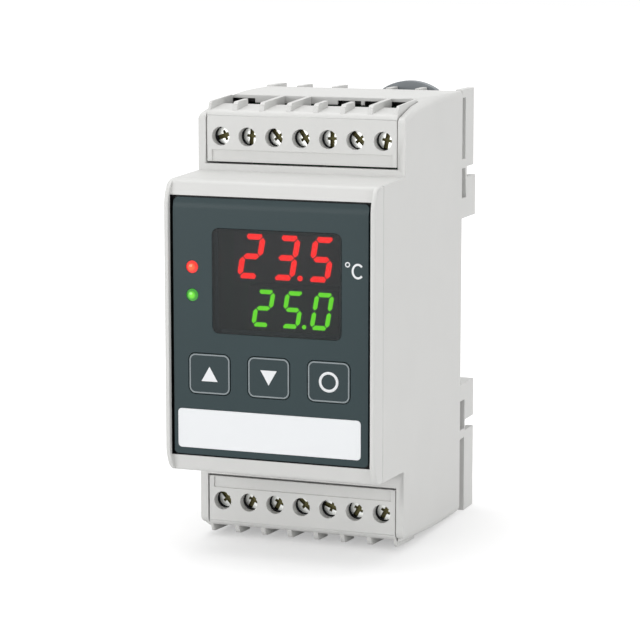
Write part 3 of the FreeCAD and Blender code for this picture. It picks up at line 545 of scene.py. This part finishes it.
def merged_copy(name):
    """The node's triangles as one clean mesh in millimetres, flat areas as single faces."""
    shape = bmesh.new()
    shape.from_mesh(nodes[name].data)
    bmesh.ops.scale(shape, vec=(1 / mm,) * 3, verts=shape.verts)
    bmesh.ops.remove_doubles(shape, verts=shape.verts, dist=merge_reach)
    bmesh.ops.dissolve_degenerate(shape, edges=shape.edges, dist=merge_reach)
    bmesh.ops.dissolve_limit(shape, angle_limit=math.radians(merge_angle),
                             verts=shape.verts, edges=shape.edges)
    many_sided = [face for face in shape.faces if len(face.verts) > most_corners]
    bmesh.ops.connect_verts_concave(shape, faces=many_sided)
    return shape


def face_width(face):
    """Mean width of a face across its longest side."""
    return face.calc_area() / max(edge.calc_length() for edge in face.edges)


def outer_edges(shape, radius, shortest):
    """Convex edges with room for a bevel on both sides and at both ends."""
    chosen = {edge for edge in shape.edges
              if edge.is_manifold and crease(edge) > math.radians(bevel_angle)
              and edge.calc_length() > shortest
              and min(face_width(face) for face in edge.link_faces) > room * radius}
    cramped = True
    while cramped:
        cramped = {edge for edge in chosen if any(
            other not in chosen and other.calc_length() < end_room * radius
            for corner in edge.verts for other in corner.link_edges)}
        chosen -= cramped
    return sorted(chosen, key=lambda edge: edge.index)


def flat_areas(shape):
    """For each face, the area of the flat region that it belongs to."""
    area = {}
    for seed in shape.faces:
        if seed in area:
            continue
        region, queue = {seed}, [seed]
        while queue:
            for edge in queue.pop().edges:
                if edge.is_manifold and abs(crease(edge)) < math.radians(region_angle):
                    fresh = set(edge.link_faces) - region
                    region |= fresh
                    queue.extend(fresh)
        total = sum(face.calc_area() for face in region)
        area.update((face, total) for face in region)
    return area


def settled_normals(shape):
    """One normal for each face corner: smooth over the bevels, true on the flat areas."""
    area = flat_areas(shape)
    normals = []
    for face in shape.faces:
        for corner in face.loops:
            fan, queue = {face}, [face]
            while queue:
                for edge in queue.pop().edges:
                    if corner.vert in edge.verts and edge.smooth and edge.is_manifold:
                        fresh = set(edge.link_faces) - fan
                        fan |= fresh
                        queue.extend(fresh)
            normals.append(sum((near.normal * area[near] for near in fan), Vector()).normalized())
    return normals


def soften(name, body, radius, shortest):
    """Replace a node by a copy with rounded outer edges. Radius and shortest edge in millimetres."""
    shape = merged_copy(name)
    shape.edges.index_update()
    edges = outer_edges(shape, radius, shortest)
    bmesh.ops.bevel(shape, geom=edges, offset=radius, offset_type="OFFSET", segments=2, profile=0.5,
                    affect="EDGES", clamp_overlap=False, loop_slide=True)
    bmesh.ops.dissolve_degenerate(shape, edges=shape.edges, dist=merge_reach / 2)
    shape.normal_update()
    for face in shape.faces:
        face.smooth = True
    for edge in shape.edges:
        edge.smooth = edge.is_manifold and abs(crease(edge)) < math.radians(smooth_angle)
    normals = settled_normals(shape)
    bmesh.ops.scale(shape, vec=(mm,) * 3, verts=shape.verts)
    mesh = bpy.data.meshes.new(name + "_moulding")
    shape.to_mesh(mesh)
    shape.free()
    mesh.normals_split_custom_set(normals)
    mesh.materials.append(finishes[name])
    piece = bpy.data.objects.new(name + "_moulding", mesh)
    bpy.context.scene.collection.objects.link(piece)
    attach(piece, body)
    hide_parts(name)
    print("softened", name, "edges", len(edges), "faces", len(mesh.polygons))


# %% Soften the mouldings that show
# Bevel radius and shortest edge of each, in millimetres.
mouldings = {
    "housing": (0.25, 0), "rail_base": (0.12, 0), "front_frame": (0.2, 0),
    "upper_terminal_cover": (0.1, 0.6), "lower_terminal_cover": (0.1, 0.6),
    "front_panel": (0.07, 0), "label_strip": (0.04, 0), "rail_latch": (0.14, 0),
}
bodies = frame["record"]["behaviour"]["bodies"]
rider = {node: body for body, members in bodies.items() for node in members}
for name, (radius, shortest) in mouldings.items():
    soften(name, rider[name], radius, shortest)

# %% [markdown]
# ## The latch's spring
#
# The latch's nose pushes the lower end of its spring up while the upper end stays at its stop. The
# spring's node is copied as a plain mesh with its place baked in, and the node is hidden.

# %% Spring of the latch
spring = bpy.data.objects.new("latch_spring_folded", nodes["latch_spring"].data.copy())
bpy.context.scene.collection.objects.link(spring)
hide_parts("latch_spring")
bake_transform(spring)

# %% [markdown]
# ## Geometry Nodes for printed strokes
#
# A key's outline and a ring are both a path with a flat stroke along it. A small class builds the
# Geometry Nodes tree from calls, runs it with other sizes for each use, and keeps the result as a
# plain mesh.

# %% Build and run a Geometry Nodes tree
# A printed stroke stands this far in front of the surface, and reaches as far into it.
ink = 0.03 * mm
fillet_points = 8
ring_points = 48


class Recipe:
    """A Geometry Nodes tree with named inputs."""

    def __init__(self, name, **inputs):
        self.tree = bpy.data.node_groups.new(name, "GeometryNodeTree")
        sockets = self.tree.interface
        sockets.new_socket("Geometry", in_out="OUTPUT", socket_type="NodeSocketGeometry")
        self.keys = {}
        for label, value in inputs.items():
            kind = "NodeSocketVector" if isinstance(value, tuple) else "NodeSocketFloat"
            socket = sockets.new_socket(label, in_out="INPUT", socket_type=kind)
            socket.default_value = value
            self.keys[label] = socket.identifier
        self.entry = self.tree.nodes.new("NodeGroupInput")
        self.exit = self.tree.nodes.new("NodeGroupOutput")

    def value(self, label):
        """The socket of a named input."""
        return self.entry.outputs[label]

    def node(self, kind, settings=None, values=None, output=0):
        """Add a node: its settings first, then the values or links of its sockets."""
        node = self.tree.nodes.new(kind)
        for label, value in (settings or {}).items():
            setattr(node, label, value)
        for label, value in (values or {}).items():
            if isinstance(value, bpy.types.NodeSocket):
                self.tree.links.new(value, node.inputs[label])
            else:
                node.inputs[label].default_value = value
        return node.outputs[output]

    def stroke(self, path, material):
        """Lay a flat stroke along a path, stand it upright at the centre and give it its material."""
        ribbon = self.node("GeometryNodeCurvePrimitiveQuadrilateral",
                           values={"Width": self.value("stroke"), "Height": 2 * ink})
        band = self.node("GeometryNodeCurveToMesh", values={"Curve": path, "Profile Curve": ribbon})
        placed = self.node("GeometryNodeTransform",
                           values={"Geometry": band, "Rotation": (math.pi / 2, 0, 0),
                                   "Translation": self.value("centre")})
        painted = self.node("GeometryNodeSetMaterial", values={"Geometry": placed, "Material": material})
        self.tree.links.new(painted, self.exit.inputs["Geometry"])
        return self

    def make(self, name, body, slot, **values):
        """Run the tree, keep its result as a plain mesh and let it ride on a body."""
        piece = bpy.data.objects.new(name, bpy.data.meshes.new(name))
        bpy.context.scene.collection.objects.link(piece)
        modifier = piece.modifiers.new("recipe", "NODES")
        modifier.node_group = self.tree
        for label, value in values.items():
            modifier[self.keys[label]] = value
        bpy.context.view_layer.update()
        graph = bpy.context.evaluated_depsgraph_get()
        mesh = bpy.data.meshes.new_from_object(piece.evaluated_get(graph))
        piece.modifiers.clear()
        piece.data = mesh
        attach(piece, body)
        print("made", name, "faces", len(mesh.polygons))


# %% [markdown]
# ## Key signs
#
# Each key has a thin light outline near its edge and a sign: a triangle up, a triangle down and a
# ring. On the real unit the signs are printed. Here outline and sign stand a few hundredths of a
# millimetre in front of the key and ride on its body, so that they travel with it.

# %% Outline of a key
def outline_recipe():
    """A rounded rectangle round a key's sign."""
    recipe = Recipe("key_outline", width=8.45 * mm, height=7.75 * mm, corner=1.15 * mm, stroke=0.28 * mm,
                    centre=(0.0, 0.0, 0.0))
    path = recipe.node("GeometryNodeCurvePrimitiveQuadrilateral",
                       values={"Width": recipe.value("width"), "Height": recipe.value("height")})
    path = recipe.node("GeometryNodeFilletCurve", {"mode": "POLY"},
                       {"Curve": path, "Radius": recipe.value("corner"), "Count": fillet_points,
                        "Limit Radius": True})
    return recipe.stroke(path, outline_grey)


key_outline = outline_recipe()
for name in ("up_key", "down_key", "set_key"):
    low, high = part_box(name)
    middle = (low + high) / 2
    key_outline.make(name + "_outline", name, "key_film", centre=(middle.x, low.y, middle.z))

# %% Triangles and ring
def flat_sign(name, outline, thickness, body, material):
    """A closed sheet with its outline's points in front, thickness thick towards the back."""
    mesh = bpy.data.meshes.new(name)
    shape = bmesh.new()
    front = [shape.verts.new((x, y, z)) for x, y, z in outline]
    face = shape.faces.new(front)
    result = bmesh.ops.extrude_face_region(shape, geom=[face])
    moved = [item for item in result["geom"] if isinstance(item, bmesh.types.BMVert)]
    bmesh.ops.translate(shape, verts=moved, vec=(0, thickness, 0))
    bmesh.ops.recalc_face_normals(shape, faces=shape.faces)
    shape.to_mesh(mesh)
    shape.free()
    mesh.materials.append(material)
    piece = bpy.data.objects.new(name, mesh)
    bpy.context.scene.collection.objects.link(piece)
    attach(piece, body)


triangle_width = 3.5 * mm
triangle_height = 3.0 * mm
for name, up in (("up_key", 1), ("down_key", -1)):
    low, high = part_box(name)
    middle = (low + high) / 2
    y = low.y - ink
    base = middle.z - up * triangle_height / 2
    tip = middle.z + up * triangle_height / 2
    corners = [(middle.x - triangle_width / 2, y, base), (middle.x + triangle_width / 2, y, base),
               (middle.x, y, tip)]
    flat_sign(name + "_sign", corners, 2 * ink, name, print_white)


def ring_recipe():
    """A plain ring."""
    recipe = Recipe("printed_ring", radius=1.8 * mm, stroke=0.55 * mm, centre=(0.0, 0.0, 0.0))
    path = recipe.node("GeometryNodeCurvePrimitiveCircle",
                       values={"Resolution": ring_points, "Radius": recipe.value("radius")})
    return recipe.stroke(path, print_white)


ring = ring_recipe()
low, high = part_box("set_key")
middle = (low + high) / 2
ring.make("set_key_sign", "set_key", "label_film", centre=(middle.x, low.y, middle.z))

# %% [markdown]
# ## The unit sign beside the digits
#
# A degree ring and a C are printed on the window's right. The C is one closed outline, which runs out
# along an ellipse and back inside it, and leaves its right side open.

# %% Degree and C
# From the window's upper right corner to the ring, and from the ring to the C.
unit_gap = 1.3 * mm
unit_drop = 6.0 * mm
letter_gap = 2.15 * mm
letter_drop = 1.25 * mm
degree_radius = 0.42 * mm
degree_stroke = 0.24 * mm
letter_width = 2.6 * mm
letter_height = 3.1 * mm
letter_stroke = 0.42 * mm
letter_steps = 28
letter_opening = math.radians(84)


def letter_c(name, centre):
    """A C drawn as a thick arc, open on its right side."""
    half_width = letter_width / 2
    half_height = letter_height / 2
    outer, inner = [], []
    for i in range(letter_steps + 1):
        angle = letter_opening / 2 + (2 * math.pi - letter_opening) * i / letter_steps
        across, upward = math.cos(angle), math.sin(angle)
        outer.append((across * half_width, upward * half_height))
        inner.append((across * (half_width - letter_stroke), upward * (half_height - letter_stroke)))
    rim = outer + inner[::-1]
    points = [(centre[0] + x, centre[1] - ink, centre[2] + z) for x, z in rim]
    flat_sign(name, points, 2 * ink, "controller", print_white)


window_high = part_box("display_window")[1]
sign_x = window_high.x + unit_gap
sign_z = window_high.z - unit_drop
ring.make("degree_sign", "controller", "label_film", radius=degree_radius, stroke=degree_stroke,
          centre=(sign_x, panel_low.y, sign_z))
letter_c("unit_letter", (sign_x + letter_gap, panel_low.y, sign_z - letter_drop))

# %% [markdown]
# ## Stage, light and camera
#
# The floor is plain and pale. Soft boxes stand above, to the left and to the right, and the world
# fills in the rest, so that a colour renders about as it is written. The camera stands a little to
# the right of the front and a little above it, with a long lens.

# %% Floor
# The floor glows fully beyond shadow_reach, in metres from its middle, and less near the object.
shadow_reach = 0.066
glow_near = 0.3
glow_far = 0.8
glow_strength = 1.3
floor_size = 3.0
floor_sink = 0.02 * mm
floor_colour = (0.85, 0.85, 0.85, 1)
floor_bounce = (0.8, 0.8, 0.8, 1)


def stage_material(name, colour, bounce):
    """Pale diffuse floor whose own light, seen directly or in gloss and glass, lifts it to white.

    Near the object the floor glows less, so that the soft shadow under it stays. The bounce is the
    floor's colour for the light that it throws back at the object."""
    finish = Finish(name, colour, 0.9)
    tree = finish.tree
    rays = tree.nodes.new("ShaderNodeLightPath")
    finish.feed("Base Color", finish.tint(Amount(finish, rays.outputs["Is Camera Ray"]), bounce, colour))
    light = tree.nodes.new("ShaderNodeEmission")
    light.inputs["Color"].default_value = (1, 1, 1, 1)
    light.inputs["Strength"].default_value = glow_strength
    mix = tree.nodes.new("ShaderNodeMixShader")
    seen = Amount(finish, rays.outputs["Is Camera Ray"])
    seen = seen + Amount(finish, rays.outputs["Is Glossy Ray"])
    seen = seen + Amount(finish, rays.outputs["Is Transmission Ray"])
    aside = finish.along("x")
    back = finish.along("y")
    far = finish.step(aside * aside + back * back, 0.5 * shadow_reach ** 2, shadow_reach ** 2)
    tree.links.new((seen * (far * (glow_far - glow_near) + glow_near)).socket, mix.inputs["Fac"])
    tree.links.new(finish.shader.outputs["BSDF"], mix.inputs[1])
    tree.links.new(light.outputs["Emission"], mix.inputs[2])
    tree.links.new(mix.outputs["Shader"], tree.nodes["Material Output"].inputs["Surface"])
    return finish.material


floor_mesh = bpy.data.meshes.new("floor")
corners = [(-floor_size, -floor_size), (floor_size, -floor_size), (floor_size, floor_size),
           (-floor_size, floor_size)]
floor_mesh.from_pydata([(x, y, -floor_sink) for x, y in corners], [], [(0, 1, 2, 3)])
floor_mesh.materials.append(stage_material("pale_floor", floor_colour, floor_bounce))
floor = bpy.data.objects.new("floor", floor_mesh)
bpy.context.scene.collection.objects.link(floor)

# %% World
# The world's level as a lamp, and its level where the camera sees it, in gloss and glass too.
fill_level = 0.6
seen_level = 1.0
world = bpy.data.worlds.new("studio")
bpy.context.scene.world = world
world.use_nodes = True
sky = world.node_tree
background = sky.nodes["Background"]
background.inputs["Color"].default_value = (1, 1, 1, 1)
rays = sky.nodes.new("ShaderNodeLightPath")
level = sky.nodes.new("ShaderNodeMix")
level.inputs[2].default_value = fill_level
level.inputs[3].default_value = seen_level
seen = [sky.nodes.new("ShaderNodeMath") for count in range(2)]
sky.links.new(rays.outputs["Is Camera Ray"], seen[0].inputs[0])
sky.links.new(rays.outputs["Is Glossy Ray"], seen[0].inputs[1])
sky.links.new(seen[0].outputs[0], seen[1].inputs[0])
sky.links.new(rays.outputs["Is Transmission Ray"], seen[1].inputs[1])
sky.links.new(seen[1].outputs[0], level.inputs[0])
sky.links.new(level.outputs[0], background.inputs["Strength"])


# %% Soft boxes
def soft_box(name, place, aim, size, power):
    """Square area lamp that points at aim."""
    lamp = bpy.data.lights.new(name, "AREA")
    lamp.shape = "SQUARE"
    lamp.size = size
    lamp.energy = power
    box = bpy.data.objects.new(name, lamp)
    box.location = place
    box.rotation_euler = (Vector(aim) - Vector(place)).to_track_quat("-Z", "Y").to_euler()
    bpy.context.scene.collection.objects.link(box)


# Place and size in metres, power in watts. All of them point at the unit's middle.
lamps = {
    "overhead": ((-0.1, 0.05, 0.85), 0.7, 3.4),
    "front_left": ((-0.5, -0.85, 0.1), 0.6, 4.3),
    "right": ((0.9, -0.3, 0.12), 0.6, 2.5),
}
unit_middle = (0, 0, 0.045)
for name, (place, size, power) in lamps.items():
    soft_box(name, place, unit_middle, size, power)

# %% Camera
# Angles in degrees, the lens in millimetres on a frame 36 wide.
camera_place = Vector((187.244, -500.669, 129.727)) * mm
camera_azimuth = 20.635
camera_elevation = 9.008
camera_lens = 144.534
film_width = 36


def film(place, azimuth, elevation, lens):
    """A camera at a place, turned by azimuth and tipped down by elevation, in degrees."""
    camera = bpy.data.cameras.new("camera")
    camera.lens = lens
    camera.sensor_width = film_width
    camera.clip_start = 0.01
    viewer = bpy.data.objects.new("camera", camera)
    viewer.location = place
    viewer.rotation_euler = (math.radians(90 - elevation), 0, math.radians(azimuth))
    bpy.context.scene.collection.objects.link(viewer)
    bpy.context.scene.camera = viewer


film(camera_place, camera_azimuth, camera_elevation, camera_lens)
bpy.context.scene.view_settings.view_transform = "Standard"
